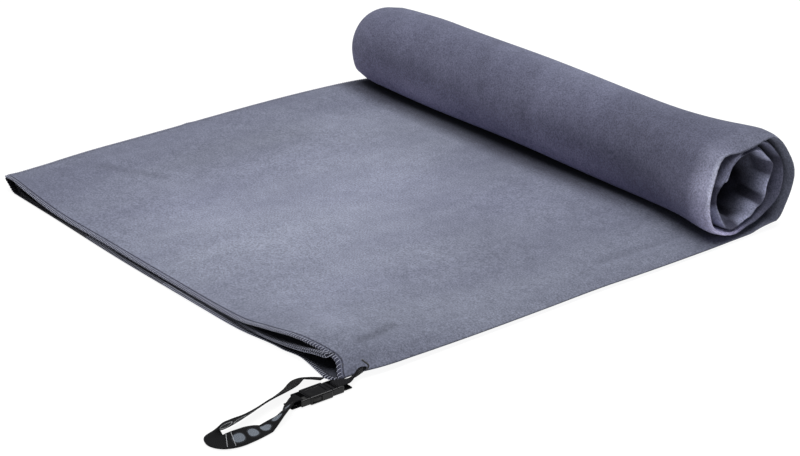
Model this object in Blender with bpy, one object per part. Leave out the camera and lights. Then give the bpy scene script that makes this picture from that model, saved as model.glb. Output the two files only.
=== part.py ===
"""A quick dry towel, folded in four and half rolled up, with a webbing hang loop and its snap buckle.

The towel is one cloth of 750 by 1500 mm. Its 1500 mm side is folded in four, which makes a pack
375 mm wide (X). The pack lies flat from its hem at -Y and runs under the roll at +Y, where it
turns up over the back, down the front and round again. A webbing tab and a snap buckle sit at
the hem's +X corner, and a twisted webbing loop lies on the floor in front of it.

Metres, +Z up. The origin is the centre of the footprint, on the towel's flat underside.
Lengths below are in millimetres and become metres when a mesh is made.
"""

import math

import bmesh
import bpy
from mathutils import Vector

MM = 0.001
GAP = 0.3  # clearance between pieces that touch
UP = Vector((0, 0, 1))
ACROSS = Vector((1, 0, 0))

# Folded cloth
CLOTH_LENGTH = 750.0
PACK_HALF = 187.5
PACK_THICK = 2.8
LAYER = PACK_THICK / 4
HEM_Y = -180.0
ROLL_Y = 147.0
ROLL_RADIUS = 31.5
ROLL_PITCH = PACK_THICK + 0.35
STEPS_PER_TURN = 30
EDGE_STEPS = 4

# Hem threads
THREAD_HIGH = 0.45
THREAD_DEEP = 0.4
HEM_INSET = 2.0
HEM_CORNER_X = 170.0
TOPSTITCH_INSET = 5.5

# Webbing
WEBBING_THICK = 0.9
NARROW = 8.0
SAMPLES = 5
EYE_RADIUS = 1.7
EYE_STEPS = 8
PATCH_THICK = 0.3

# Snap buckle, along Y from the plug's bar to the socket's
BUCKLE_X = 192.2
BUCKLE_THICK = 4.8
MID_Z = BUCKLE_THICK / 2
PLUG_BAR_Y = -182.9
FLANGE_Y = (-189.3, -187.6)
MOUTH_Y = -189.6
SHOULDER_Y = -204.8
SOCKET_BAR_Y = -209.6
BAR_RADIUS = 0.85
RAIL_PAST_BAR = 1.1
SOCKET_HALF = 6.0
SOCKET_WALL = 1.0
WINDOW_Y = (-203.8, -197.2)
FRAME_HALF = 5.4
SLOT_HALF = 4.4
TONGUE_END_Y = -200.5
ARM_X = 4.1
ARM_ROOT_Y = -189.95
ARM_HALF_Z = 1.15

# Centre line of the loop: x, y, lean of the webbing in degrees, height of its low edge, width.
# The lean is 0 where the webbing lies flat and 90 where it stands on its outer edge.
STRAP_OUT = [
    (180.9, -184.6, 20, 0.8, 10.2),
    (175.7, -189.2, 22, 0.4, 10.2),
    (173.2, -195.0, 26, 0.2, 10.2),
    (178.4, -204.4, 28, 0.2, 10.2),
    (182.2, -214.3, 34, 0.2, 10.2),
    (185.7, -225.6, 42, 0.2, 10.2),
    (189.6, -237.1, 44, 0.2, 10.2),
    (192.8, -248.0, 48, 0.2, 10.2),
    (194.0, -256.6, 53, 0.2, 10.2),
    (194.0, -263.2, 47, 0.2, 10.2),
    (196.0, -267.8, 30, 0.2, 10.2),
]
STRAP_BACK = [
    (200.8, -269.2, 16, 0.2, 10.2),
    (205.6, -266.8, 22, 0.2, 10.2),
    (208.4, -260.6, 33, 0.2, 10.2),
    (208.0, -253.0, 29, 0.2, 10.2),
    (206.2, -244.6, 13, 0.2, 10.2),
    (204.4, -236.2, -10, 0.6, 9.8),
    (202.0, -227.8, -28, 1.0, 9.0),
    (198.4, -220.4, -30, 1.4, 8.2),
]
# The rest of the strap's centre line, up to the socket's bar: x, y, z.
STRAP_RISE = [(192.9, -214.8, 2.8), (192.2, -212.0, 3.8)]
# Centre line of the tab: x, y, z, lean, width. It is gathered to a point where it is sewn to the towel.
TAB_OUT = [
    (188.6, -159.8, 5.0, 90, 1.6),
    (188.8, -163.4, 4.8, 84, 4.0),
    (189.8, -167.8, 4.5, 66, 6.4),
    (191.4, -172.4, 4.2, 38, 7.8),
    (192.2, -176.5, 4.0, 10, 8.0),
    (192.2, -179.8, 4.05, 0, 8.0),
]
# How far the folded-back end of each webbing runs under it, past the bar.
TAB_TAIL = (3.5, 7.5)
STRAP_TAIL = (3.0, 6.5)


def clear_scene():
    for obj in list(bpy.data.objects):
        bpy.data.objects.remove(obj, do_unlink=True)
    for mesh in list(bpy.data.meshes):
        bpy.data.meshes.remove(mesh)


def material(name, colour, roughness, metallic=0.0):
    made = bpy.data.materials.new(name)
    made.use_nodes = True
    shader = made.node_tree.nodes["Principled BSDF"]
    shader.inputs["Base Color"].default_value = (*colour, 1.0)
    shader.inputs["Roughness"].default_value = roughness
    shader.inputs["Metallic"].default_value = metallic
    return made


def named_object(name, bm, finish, origin=(0.0, 0.0, 0.0), smooth=False):
    """An object in metres from a bmesh in millimetres, with its own origin at a point in millimetres."""
    bmesh.ops.recalc_face_normals(bm, faces=bm.faces)
    bmesh.ops.translate(bm, vec=-Vector(origin), verts=bm.verts)
    bmesh.ops.scale(bm, vec=(MM, MM, MM), verts=bm.verts)
    mesh = bpy.data.meshes.new(name)
    bm.to_mesh(mesh)
    bm.free()
    mesh.materials.append(finish)
    if smooth:
        mesh.shade_smooth()
        mesh.set_sharp_from_angle(angle=math.radians(40))
    obj = bpy.data.objects.new(name, mesh)
    obj.location = Vector(origin) * MM
    bpy.context.scene.collection.objects.link(obj)
    return obj


# ---- sweeps -----------------------------------------------------------------------------------


def swept(sections):
    """A bmesh with one closed solid through a list of sections, each a ring of as many points."""
    bm = bmesh.new()
    rings = [[bm.verts.new(point) for point in section] for section in sections]
    count = len(rings[0])
    for ring, after in zip(rings, rings[1:]):
        for i in range(count):
            j = (i + 1) % count
            bm.faces.new((ring[i], ring[j], after[j], after[i]))
    bm.faces.new(rings[0])
    bm.faces.new(reversed(rings[-1]))
    return bm


def frames_of(points, wide_directions):
    """At each point of a band: the point, its width direction, and its face's normal."""
    made = []
    for i, point in enumerate(points):
        ahead = points[min(i + 1, len(points) - 1)]
        behind = points[max(i - 1, 0)]
        tangent = (ahead - behind).normalized()
        wide = wide_directions[i]
        wide = (wide - tangent * wide.dot(tangent)).normalized()
        made.append((point, wide, tangent.cross(wide)))
    return made


def band(frames, widths, thick, offset=0.0):
    """A flat band along its frames. offset moves it off its centre line, along the faces' normal."""
    sections = []
    for (point, wide, normal), width in zip(frames, widths):
        centre = point + normal * offset
        across = wide * width / 2
        half = normal * thick / 2
        low, high = centre - across, centre + across
        sections.append([low - half, high - half, high + half, low + half])
    return swept(sections)


def smooth_through(rows):
    """Catmull-Rom samples through rows of numbers."""
    rows = [Vector(row) for row in rows]
    padded = [rows[0] * 2 - rows[1], *rows, rows[-1] * 2 - rows[-2]]
    made = []
    for before, start, end, after in zip(padded, padded[1:], padded[2:], padded[3:]):
        for step in range(SAMPLES):
            u = step / SAMPLES
            linear = (end - before) * u
            square = (2 * before - 5 * start + 4 * end - after) * u**2
            cube = (3 * start - before - 3 * end + after) * u**3
            made.append((2 * start + linear + square + cube) / 2)
    made.append(rows[-1])
    return made


# ---- the cloth --------------------------------------------------------------------------------


def spiral_path():
    """Mid line of the rolled pack in the YZ plane, from where it leaves the floor, with its normals."""
    radius = ROLL_RADIUS - PACK_THICK / 2
    per_radian = ROLL_PITCH / math.tau
    wound = CLOTH_LENGTH - (ROLL_Y - HEM_Y)
    last = (radius - math.sqrt(radius**2 - 2 * per_radian * wound)) / per_radian
    steps = round(last / math.tau * STEPS_PER_TURN)
    made = []
    for step in range(steps + 1):
        angle = last * step / steps
        reach = radius - per_radian * angle
        point = Vector((0, ROLL_Y + reach * math.sin(angle), ROLL_RADIUS - reach * math.cos(angle)))
        made.append((point, Vector((0, -math.sin(angle), math.cos(angle)))))
    return made


def pack_section(point, normal):
    """The pack's outline across its width, with a rounded fold at each side."""
    round_radius = PACK_THICK / 2
    made = []
    for side in (1, -1):
        for step in range(EDGE_STEPS + 1):
            angle = side * math.pi * (step / EDGE_STEPS - 0.5)
            out = PACK_HALF - round_radius + round_radius * math.cos(angle)
            made.append(point + ACROSS * side * out + normal * round_radius * math.sin(angle))
    return made


def make_cloth(finish):
    mid = PACK_THICK / 2
    ends = (Vector((0, HEM_Y, mid)), Vector((0, ROLL_Y - GAP, mid)))
    named_object("towel_flat_panel", swept([pack_section(end, UP) for end in ends]), finish)
    sections = [pack_section(point, normal) for point, normal in spiral_path()]
    named_object("towel_roll", swept(sections), finish, smooth=True)


def layer_height(layer):
    """Height of a cloth layer's middle over the pack's mid line. Layer 1 lies on the floor."""
    return LAYER * (layer - 2.5)


def fold_arc(x, side, low_layer, high_layer, upwards):
    """Points round a fold that joins two layers, as (x, height), from one layer to the other."""
    low, high = layer_height(low_layer), layer_height(high_layer)
    made = []
    for step in range(1, 6):
        angle = math.pi * (step / 6 - 0.5) * (1 if upwards else -1)
        radius = (high - low) / 2
        made.append((x + side * radius * math.cos(angle), (high + low) / 2 + radius * math.sin(angle)))
    return made


def layered_line():
    """The cloth's end edge as (x, height): free edge of layer 3, then layers 2 and 1, then 4."""
    near, far = PACK_HALF - HEM_INSET, -(PACK_HALF - HEM_INSET)
    inner = near - LAYER
    line = [(far, layer_height(3)), (inner, layer_height(3))]
    line += fold_arc(inner, 1, 2, 3, upwards=False)
    line += [(inner, layer_height(2)), (far, layer_height(2))]
    line += fold_arc(far, -1, 1, 2, upwards=False)
    line += [(far, layer_height(1)), (near, layer_height(1))]
    line += fold_arc(near, 1, 1, 4, upwards=True)
    line += [(near, layer_height(4)), (far, layer_height(4))]
    return line


def end_overlock(name, end, outward, normal, finish):
    """The overlock thread that binds the cloth's end edge, following it through the folded layers."""
    centre = end + outward * (GAP + THREAD_DEEP / 2)
    points = [centre + ACROSS * x + normal * height for x, height in layered_line()]
    frames = frames_of(points, [outward] * len(points))
    bm = band(frames, [THREAD_DEEP] * len(points), THREAD_HIGH)
    named_object(name, bm, finish)


def side_overlock(name, layer, finish):
    """The overlock thread on a free side edge, along the flat pack and round the spiral."""
    line = [(Vector((0, HEM_Y + HEM_INSET, PACK_THICK / 2)), UP), *spiral_path()]
    shift = ACROSS * -(PACK_HALF + GAP + THREAD_DEEP / 2)
    points = [point + shift + normal * layer_height(layer) for point, normal in line]
    frames = frames_of(points, [normal for _, normal in line])
    named_object(name, band(frames, [THREAD_HIGH] * len(points), THREAD_DEEP), finish)


def make_hem_threads(finish):
    spiral = spiral_path()
    inner_end, inner_normal = spiral[-1]
    inward = (inner_end - spiral[-2][0]).normalized()
    end_overlock("front_hem_overlock", Vector((0, HEM_Y, PACK_THICK / 2)), Vector((0, -1, 0)), UP, finish)
    end_overlock("inner_hem_overlock", inner_end, inward, inner_normal, finish)
    side_overlock("side_hem_overlock_lower", 3, finish)
    side_overlock("side_hem_overlock_upper", 4, finish)
    row = Vector((0, HEM_Y + TOPSTITCH_INSET, PACK_THICK + GAP + THREAD_DEEP / 4))
    ends = [row + ACROSS * x for x in (-(PACK_HALF - HEM_INSET), HEM_CORNER_X)]
    frames = frames_of(ends, [Vector((0, 1, 0))] * 2)
    named_object("front_hem_topstitch", band(frames, [THREAD_HIGH] * 2, THREAD_DEEP / 2), finish)


# ---- webbing ----------------------------------------------------------------------------------


def lean_direction(heading, lean):
    """Width direction of a band that lies along heading and leans up towards its left side."""
    left = Vector((-heading.y, heading.x, 0)).normalized()
    angle = math.radians(lean)
    return left * math.cos(angle) + UP * math.sin(angle)


def laid_band(route):
    """Points, width directions and widths of webbing whose low edge lies at a stated height."""
    samples = smooth_through(route)
    points, directions, widths = [], [], []
    for i, (x, y, lean, lift, width) in enumerate(samples):
        ahead = samples[min(i + 1, len(samples) - 1)]
        behind = samples[max(i - 1, 0)]
        angle = math.radians(lean)
        z = width / 2 * abs(math.sin(angle)) + WEBBING_THICK / 2 * math.cos(angle) + lift
        points.append(Vector((x, y, z)))
        directions.append(lean_direction(Vector((ahead[0] - behind[0], ahead[1] - behind[1], 0)), lean))
        widths.append(width)
    return points, directions, widths


def eye_and_tail(bar_y, slot_side, tail):
    """Centre line of a webbing eye: over its bar, round it on the slot's side, and back under it."""
    made = []
    for step in range(EYE_STEPS + 1):
        angle = math.pi * (0.5 - step / EYE_STEPS)
        y = bar_y + slot_side * EYE_RADIUS * math.cos(angle)
        made.append(Vector((BUCKLE_X, y, MID_Z + EYE_RADIUS * math.sin(angle))))
    for back in tail:
        made.append(Vector((BUCKLE_X, bar_y - slot_side * back, MID_Z - EYE_RADIUS)))
    return made


def stitch_patch(name, frames, first, last, wide, side, finish):
    """A block of stitches over a stretch of webbing, on its face (side 1) or its back (-1)."""
    offset = side * (WEBBING_THICK / 2 + GAP + PATCH_THICK / 2)
    stretch = frames[first : last + 1]
    named_object(name, band(stretch, [wide] * len(stretch), PATCH_THICK, offset), finish)


def make_tab(webbing, thread):
    """The tab: sewn to the folded side, twisted flat, and looped through the plug's slot."""
    rows = smooth_through(TAB_OUT)
    points = [Vector(row[:3]) for row in rows]
    directions = [lean_direction(Vector((0, -1, 0)), row[3]) for row in rows]
    loop = eye_and_tail(PLUG_BAR_Y, -1, TAB_TAIL)
    frames = frames_of(points + loop, directions + [ACROSS] * len(loop))
    widths = [row[4] for row in rows] + [NARROW] * len(loop)
    named_object("anchor_tab", band(frames, widths, WEBBING_THICK), webbing)
    stitch_patch("anchor_tab_bartack", frames, SAMPLES, SAMPLES + 3, widths[SAMPLES] - 1, -1, thread)


def make_loop(webbing, thread):
    """The hang loop: from the towel's corner out to the far seam, and back to the socket's bar."""
    points, directions, widths = laid_band(STRAP_OUT + STRAP_BACK)
    laid = len(points)
    rest = [Vector(row) for row in STRAP_RISE] + eye_and_tail(SOCKET_BAR_Y, 1, STRAP_TAIL)
    frames = frames_of(points + rest, directions + [-ACROSS] * len(rest))
    widths += [NARROW] * len(rest)
    turn = (len(STRAP_OUT) - 1) * SAMPLES + 1
    outgoing = band(frames[:turn], widths[:turn], WEBBING_THICK)
    named_object("loop_strap_outgoing", outgoing, webbing)
    returning = band(frames[turn:], widths[turn:], WEBBING_THICK)
    named_object("loop_strap_returning", returning, webbing)
    seam = turn + 2 * SAMPLES
    stitch_patch("loop_seam_stitches", frames, seam, seam + 3, widths[seam] - 1.6, 1, thread)
    stitch_patch("strap_end_bartack", frames, laid - 4, laid - 2, NARROW - 1.6, 1, thread)


# ---- buckle -----------------------------------------------------------------------------------


def buckle_block(name, low, high, finish, bevel=0.0, origin=(BUCKLE_X, PLUG_BAR_Y, MID_Z)):
    """A block between two corners, whose X is counted from the buckle's middle."""
    bm = bmesh.new()
    for vert in bmesh.ops.create_cube(bm, size=1.0)["verts"]:
        vert.co = Vector(a + (b - a) * (c + 0.5) for a, b, c in zip(low, high, vert.co))
        vert.co.x += BUCKLE_X
    obj = named_object(name, bm, finish, origin)
    if bevel:
        rounded = obj.modifiers.new("rounded edges", "BEVEL")
        rounded.width = bevel * MM
        rounded.segments = 2
    return obj


def buckle_bar(name, y, finish):
    """The round bar that a webbing eye turns on."""
    bm = bmesh.new()
    sizes = {"radius1": BAR_RADIUS, "radius2": BAR_RADIUS, "depth": 2 * SLOT_HALF + 1}
    bmesh.ops.create_cone(bm, cap_ends=True, segments=12, **sizes)
    for vert in bm.verts:
        vert.co = Vector((BUCKLE_X + vert.co.z, y + vert.co.x, MID_Z + vert.co.y))
    return named_object(name, bm, finish)


def combine(body, operation, helper):
    """Joins a hidden helper to the body, or cuts it out."""
    helper.hide_render = True
    helper.display_type = "WIRE"
    step = body.modifiers.new(f"{operation.lower()} {helper.name}", "BOOLEAN")
    step.operation = operation
    step.object = helper
    step.solver = "EXACT"


def make_socket(finish):
    top = BUCKLE_THICK
    inner = SOCKET_HALF - SOCKET_WALL
    low_z, high_z = SOCKET_WALL, top - SOCKET_WALL
    end_y = SOCKET_BAR_Y - RAIL_PAST_BAR

    def block(name, low, high, bevel=0.0):
        return buckle_block(name, low, high, finish, bevel)

    socket = block("buckle_socket", (-SOCKET_HALF, SHOULDER_Y, 0), (SOCKET_HALF, MOUTH_Y, top), 0.7)
    neck = block("socket_neck", (-FRAME_HALF, end_y, 0.4), (FRAME_HALF, SHOULDER_Y + 1.5, top - 0.4), 0.5)
    combine(socket, "UNION", neck)
    cavity = block("socket_cavity", (-inner, SHOULDER_Y + 0.8, low_z), (inner, MOUTH_Y + 1, high_z))
    combine(socket, "DIFFERENCE", cavity)
    for side, label in ((1, "right"), (-1, "left")):
        reach = sorted((side * (inner - 0.4), side * (SOCKET_HALF + 1)))
        low, high = (reach[0], WINDOW_Y[0], low_z), (reach[1], WINDOW_Y[1], high_z)
        window = block(f"socket_window_{label}", low, high)
        combine(socket, "DIFFERENCE", window)
    slot = block("socket_slot", (-SLOT_HALF, end_y - 1, -1), (SLOT_HALF, SHOULDER_Y - 0.6, top + 1))
    combine(socket, "DIFFERENCE", slot)
    combine(socket, "UNION", buckle_bar("socket_bar", SOCKET_BAR_Y, finish))
    recess = block("socket_recess", (-3.6, -202.6, top - 0.35), (3.6, -192.4, top + 1), 0.2)
    combine(socket, "DIFFERENCE", recess)


def make_plug(finish):
    top = BUCKLE_THICK - 0.3
    end_y = PLUG_BAR_Y + RAIL_PAST_BAR
    plug = buckle_block(
        "buckle_plug", (-FRAME_HALF, FLANGE_Y[0], 0.3), (FRAME_HALF, end_y, top), finish, bevel=0.5
    )
    slot = buckle_block("plug_slot", (-SLOT_HALF, FLANGE_Y[1], -1), (SLOT_HALF, end_y + 1, top + 1), finish)
    combine(plug, "DIFFERENCE", slot)
    combine(plug, "UNION", buckle_bar("plug_bar", PLUG_BAR_Y, finish))
    tongue_low = (-1.2, TONGUE_END_Y, MID_Z - 0.9)
    tongue_high = (1.2, FLANGE_Y[0] + 0.8, MID_Z + 0.9)
    combine(plug, "UNION", buckle_block("plug_tongue", tongue_low, tongue_high, finish, bevel=0.3))


def make_arm(name, side, finish):
    """A latch arm: a thin spring beam with a thumb pad that fills the socket's side window."""
    outline = [
        (ARM_X - 0.5, ARM_ROOT_Y),
        (ARM_X + 0.5, ARM_ROOT_Y),
        (ARM_X + 0.5, WINDOW_Y[1] - 0.9),
        (SOCKET_HALF - 0.15, WINDOW_Y[1] - 0.4),
        (SOCKET_HALF - 0.05, -200.5),
        (SOCKET_HALF - 0.5, WINDOW_Y[0] + 0.5),
        (ARM_X + 0.2, WINDOW_Y[0] + 0.4),
        (ARM_X - 0.7, -201.0),
        (ARM_X - 0.6, -198.4),
    ]
    heights = (MID_Z - ARM_HALF_Z, MID_Z + ARM_HALF_Z)
    rings = [[Vector((BUCKLE_X + side * x, y, z)) for x, y in outline] for z in heights]
    origin = (BUCKLE_X + side * ARM_X, ARM_ROOT_Y, MID_Z)
    arm = named_object(name, swept(rings), finish, origin)
    rounded = arm.modifiers.new("rounded edges", "BEVEL")
    rounded.width = 0.15 * MM
    rounded.segments = 1


def main():
    clear_scene()
    cloth = material("suede microfibre", (0.235, 0.250, 0.330), 0.92)
    thread = material("hem thread", (0.120, 0.130, 0.190), 0.85)
    plain_webbing = material("black webbing", (0.012, 0.012, 0.014), 0.80)
    patterned_webbing = material("patterned webbing", (0.030, 0.032, 0.038), 0.75)
    black_thread = material("black thread", (0.010, 0.010, 0.012), 0.85)
    plastic = material("black plastic", (0.018, 0.018, 0.020), 0.42)
    make_cloth(cloth)
    make_hem_threads(thread)
    make_tab(plain_webbing, black_thread)
    make_loop(patterned_webbing, black_thread)
    make_socket(plastic)
    make_plug(plastic)
    make_arm("latch_arm_right", 1, plastic)
    make_arm("latch_arm_left", -1, plastic)


main()
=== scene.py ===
"""The looks of the quick dry towel: its cloth, hem stitches, webbing, buckle finish, light and camera.

The cloth is one sheet. Its long side is folded in four and its short side runs flat, then up into
the roll, so every point of the sheet is placed by one function of where it is on the flat cloth.
The cloth's and the floor's lengths are in millimetres until their meshes are made. The webbing's, the
materials', the camera's and the light's are in metres.
"""
import math

import bpy
import numpy as np
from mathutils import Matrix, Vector


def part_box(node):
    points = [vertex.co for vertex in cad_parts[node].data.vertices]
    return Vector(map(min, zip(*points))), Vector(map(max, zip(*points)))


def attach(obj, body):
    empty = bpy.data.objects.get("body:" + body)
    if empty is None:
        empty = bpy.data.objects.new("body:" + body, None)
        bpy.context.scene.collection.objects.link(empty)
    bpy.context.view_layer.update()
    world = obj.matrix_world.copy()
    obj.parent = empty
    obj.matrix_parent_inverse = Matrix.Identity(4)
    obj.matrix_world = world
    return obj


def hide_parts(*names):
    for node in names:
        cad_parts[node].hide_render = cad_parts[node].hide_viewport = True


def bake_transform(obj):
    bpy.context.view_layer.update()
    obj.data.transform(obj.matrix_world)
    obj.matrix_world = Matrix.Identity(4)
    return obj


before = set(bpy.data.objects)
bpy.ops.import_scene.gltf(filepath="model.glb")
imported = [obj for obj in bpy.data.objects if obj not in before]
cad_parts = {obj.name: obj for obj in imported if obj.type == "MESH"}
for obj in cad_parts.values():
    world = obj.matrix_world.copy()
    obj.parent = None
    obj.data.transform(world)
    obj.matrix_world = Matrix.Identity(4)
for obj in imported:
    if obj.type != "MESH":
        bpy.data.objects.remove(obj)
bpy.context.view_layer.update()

MM = 0.001


def box_mm(node):
    low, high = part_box(node)
    return np.array(low) / MM, np.array(high) / MM


# ---- sizes taken from the CAD model ----

FLAT_LOW, FLAT_HIGH = box_mm("towel_flat_panel")
_, ROLL_HIGH = box_mm("towel_roll")
CAD_GAP = 0.3  # between those two solids
TURN_GAP = 0.35  # between the roll's turns
ROLL_PROUD = 0.2  # how far the sheet stands outside the roll's solid
HEM_Y = FLAT_LOW[1]
ROLL_Y = FLAT_HIGH[1] + CAD_GAP
PACK_HALF = FLAT_HIGH[0]
PACK_THICK = FLAT_HIGH[2]
ROLL_RADIUS = ROLL_HIGH[1] - ROLL_Y
CLOTH_LENGTH = 750.0
CLOTH_WIDTH = 8 * PACK_HALF
CLOTH_THICK = 0.55
LAYER = PACK_THICK / 4
ROLL_PITCH = PACK_THICK + TURN_GAP
FLAT_LENGTH = ROLL_Y - HEM_Y
MID_RADIUS = ROLL_RADIUS - PACK_THICK / 2 + ROLL_PROUD
PITCH_PER_RADIAN = ROLL_PITCH / math.tau


# ---- small maths ----


def ease(values, low, high):
    """0 below low, 1 above high, and smooth between them."""
    t = np.clip((np.asarray(values, float) - low) / (high - low), 0, 1)
    return t * t * (3 - 2 * t)


def along(values, points):
    """A smooth line through (place, value) pairs, flat beyond its ends."""
    places = np.array([p for p, _ in points], float)
    heights = np.array([h for _, h in points], float)
    values = np.clip(np.asarray(values, float), places[0], places[-1])
    slopes = np.gradient(heights, places)
    slopes[0] = slopes[-1] = 0
    i = np.clip(np.searchsorted(places, values, side="right") - 1, 0, len(places) - 2)
    span = places[i + 1] - places[i]
    t = (values - places[i]) / span
    a = heights[i] * (1 + 2 * t) * (1 - t) ** 2 + slopes[i] * span * t * (1 - t) ** 2
    b = heights[i + 1] * t**2 * (3 - 2 * t) + slopes[i + 1] * span * t**2 * (t - 1)
    return a + b


def bump(values, middle, width):
    """1 at the middle, falling smoothly to about a third at a width's distance."""
    return np.exp(-(((np.asarray(values, float) - middle) / width) ** 2))


def catmull_rom(rows, samples):
    """A smooth curve through rows of numbers, with this many samples from each row to the next."""
    rows = [np.array(row, float) for row in rows]
    padded = [2 * rows[0] - rows[1], *rows, 2 * rows[-1] - rows[-2]]
    made = []
    for before, start, end, after in zip(padded, padded[1:], padded[2:], padded[3:]):
        for step in range(samples):
            u = step / samples
            linear = (end - before) * u
            square = (2 * before - 5 * start + 4 * end - after) * u**2
            cube = (3 * start - before - 3 * end + after) * u**3
            made.append((2 * start + linear + square + cube) / 2)
    made.append(rows[-1])
    return np.array(made)


# ---- the sheet's shape ----
# u runs across the cloth, 0 to 1500: layer 2 from its free edge, the inner fold, layer 1, the far
# fold, layer 0 on the floor, the near fold and layer 3 on top. s runs along it, 0 at the front hem.
# x is 0 in the middle of the pack, and the near folds are at its +X side. The numbers in the shapes
# below are millimetres along x or s and the heights there, but for those that say degrees.

QUARTER = CLOTH_WIDTH / 4
NEAR_FOLD_ARC = 10.0
INNER_FOLD_ARC = 3.0
FAR_FOLD_ARC = 3.0


def place_across(u):
    """x as a share of the half width, -1 to 1, how far out on a fold, 0 to 1, and the layer weights."""
    u = np.asarray(u, float)
    share = np.zeros_like(u)
    turn = np.zeros_like(u)
    weights = np.zeros((4, *u.shape))
    for quarter, layer, heading in ((0, 2, 1), (1, 1, -1), (2, 0, 1), (3, 3, -1)):
        t = u / QUARTER - quarter
        inside = (t >= 0) & (t <= 1)
        share = np.where(inside, heading * (2 * t - 1), share)
        weights[layer] = np.where(inside, 1.0, weights[layer])
    for middle, arc, first, second in (
        (QUARTER, INNER_FOLD_ARC, 2, 1),
        (2 * QUARTER, FAR_FOLD_ARC, 1, 0),
        (3 * QUARTER, NEAR_FOLD_ARC, 0, 3),
    ):
        near = np.abs(u - middle) < arc
        angle = (u - middle) / arc * math.pi / 2
        mix = (1 + np.sin(angle)) / 2
        turn = np.where(near, np.cos(angle), turn)
        for layer in range(4):
            weight = (1 - mix) * (layer == first) + mix * (layer == second)
            weights[layer] = np.where(near, weight, weights[layer])
    return share, turn, weights


def top_lift(x, s):
    """How far the top layer stands over the pack, puffed along its hem beside the near corner."""
    along_hem = along(x, [(40, 0), (70, 0.6), (95, 2.2), (122, 7.2), (152, 9.6), (172, 6.0), (189, 2.4)])
    behind = along(s, [(0, 1), (10, 0.97), (45, 0.5), (95, 0.12), (150, 0)])
    side_puff = along(x, [(120, 0), (165, 2.2), (182, 3.4), (189, 1.6)])
    side_puff *= along(s, [(0, 0), (15, 1), (45, 0.9), (90, 0.35), (170, 0.3), (300, 0.2), (327, 0)])
    swell = 0.55 * np.sin(x / 61 + 0.4) * np.sin(s / 47 + 1.3)
    swell += 0.35 * np.sin(x / 29 - s / 83 + 2.0) + 0.8 * bump(x, -150, 26) * np.sin(s / 52)
    creases = 0.5 * bump(x - 0.08 * s, 126, 3.2) * ease(s, 150, 190) * (1 - ease(s, 290, 320))
    creases += 0.45 * bump(s + 0.25 * x, 108, 3.0) * ease(-x, 60, 100)
    creases -= 0.9 * bump(x + 0.32 * s, 180, 2.6) * ease(s, 22, 36) * (1 - ease(s, 52, 74))
    creases -= 0.8 * bump(x, 164, 2.6) * ease(s, 208, 232) * (1 - ease(s, 262, 284))
    creases -= 0.7 * bump(s - 0.62 * x, 172, 3.4) * ease(-x, 112, 128) * (1 - ease(-x, 150, 168))
    far_corner = 3.3 * bump(x, -146, 29) * np.exp(-s / 30) + 7.4 * bump(x, -180, 25) * np.exp(-s / 13)
    far_corner -= 2.1 * ease(-x, 162, 175) * np.exp(-s / 4)
    far_edge = 1.5 * bump(x, -178, 26) * (0.3 + 0.7 * ease(s, 10, 90))
    return along_hem * behind + side_puff + (swell + creases + 0.7) * ease(s, 0, 30) + far_corner + far_edge


def bottom_lift(x, s):
    """How far the bottom layer stands off the floor, at its far corner only."""
    return 5.6 * ease(-x, 163, 177) * np.exp(-s / 11) + 1.1 * ease(-x, 166, 175) * np.exp(-s / 4)


def inner_lift(x, s):
    """How far the two inner layers stand over the pack: near the top layer's puff and in the far fold."""
    along_hem = along(x, [(90, 0), (120, 1.6), (145, 4.2), (168, 7.0), (189, 6.0)])
    far_fold = 6.4 * ease(-x, 158, 176) * np.exp(-(s + 9) / 13)
    return along_hem * along(s, [(0, 1), (12, 0.9), (50, 0.35), (110, 0)]) + far_fold


def hem_shift(x, layer):
    """How far a layer's hem lies behind the front line, along +Y."""
    wander = 0.9 * np.sin(x / 47 + 0.6 * layer) + 0.5 * np.sin(x / 19 + 1.7 * layer)
    if layer == 3:
        return along(x, [(90, 0.3), (125, 0.6), (152, 4.4), (176, 8.4), (190, 3.4)]) + 0.4 * wander
    if layer == 0:
        near = along(x, [(-187, 1.0), (-157, 0.6), (-53, -1.6), (59, -2.6), (98, -1.6), (132, 2.4)])
        near += along(x, [(132, 0), (148, 2.3), (159, 0.8), (171, -1.5), (182, -3.2), (189, -2.2)])
        return near + 0.25 * wander
    near = along(x, [(110, 0), (150, 2.2), (170, 5.0)])
    return 0.4 + 0.6 * layer + near + 8.0 * bump(x, -190, 26) + 0.5 * wander


def wound_angle(s):
    """How far round the roll a place along the cloth is wound, in radians."""
    wound = np.clip(s - FLAT_LENGTH, 0, None)
    root = np.sqrt(np.clip(MID_RADIUS**2 - 2 * PITCH_PER_RADIAN * wound, 0, None))
    return (MID_RADIUS - root) / PITCH_PER_RADIAN


# How far each turn stands out from the even spiral at the near end, by degrees along the winding.
NEAR_END_FLARE = [
    (0, 0), (20, 0.3), (28, 1.6), (36, 3.8), (45, 7.4), (52, 7.4), (60, 6.6), (83, 7.0), (95, 8.3),
    (121, 8.4), (149, 10.0), (176, 6.4), (202, 4.6), (219, 8.6), (247, 9.0), (270, 10.8), (300, 9.2),
    (319, 4.6), (335, 1.5), (352, -2.0), (380, -3.2), (404, -2.0), (430, 3.0), (458, 6.0), (481, 6.6),
    (509, 8.0), (540, 4.5), (576, 2.0), (610, 4.5), (630, 6.0), (660, 5.6), (678, 3.2), (698, -0.4),
    (720, -3.4), (765, -5.6), (800, -3.5), (824, -1.0), (845, 3.0), (869, 5.0), (900, 2.5), (932, 0.5),
]
# How far the near edge of each turn lies out along +X, by the same degrees.
NEAR_END_REACH = [
    (0, 0), (49, 1.0), (95, 3.0), (121, 2.4), (149, 1.2), (172, 0.5), (196, -3.0), (218, -4.5),
    (238, -2.5), (270, 0.6), (319, 1.5), (352, 0), (404, -1.0), (458, -2.0), (540, -2.6), (630, -1.2),
    (698, -1.4), (765, -2.6), (830, -3.4), (870, -4.0), (932, -6.0),
]


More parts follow.
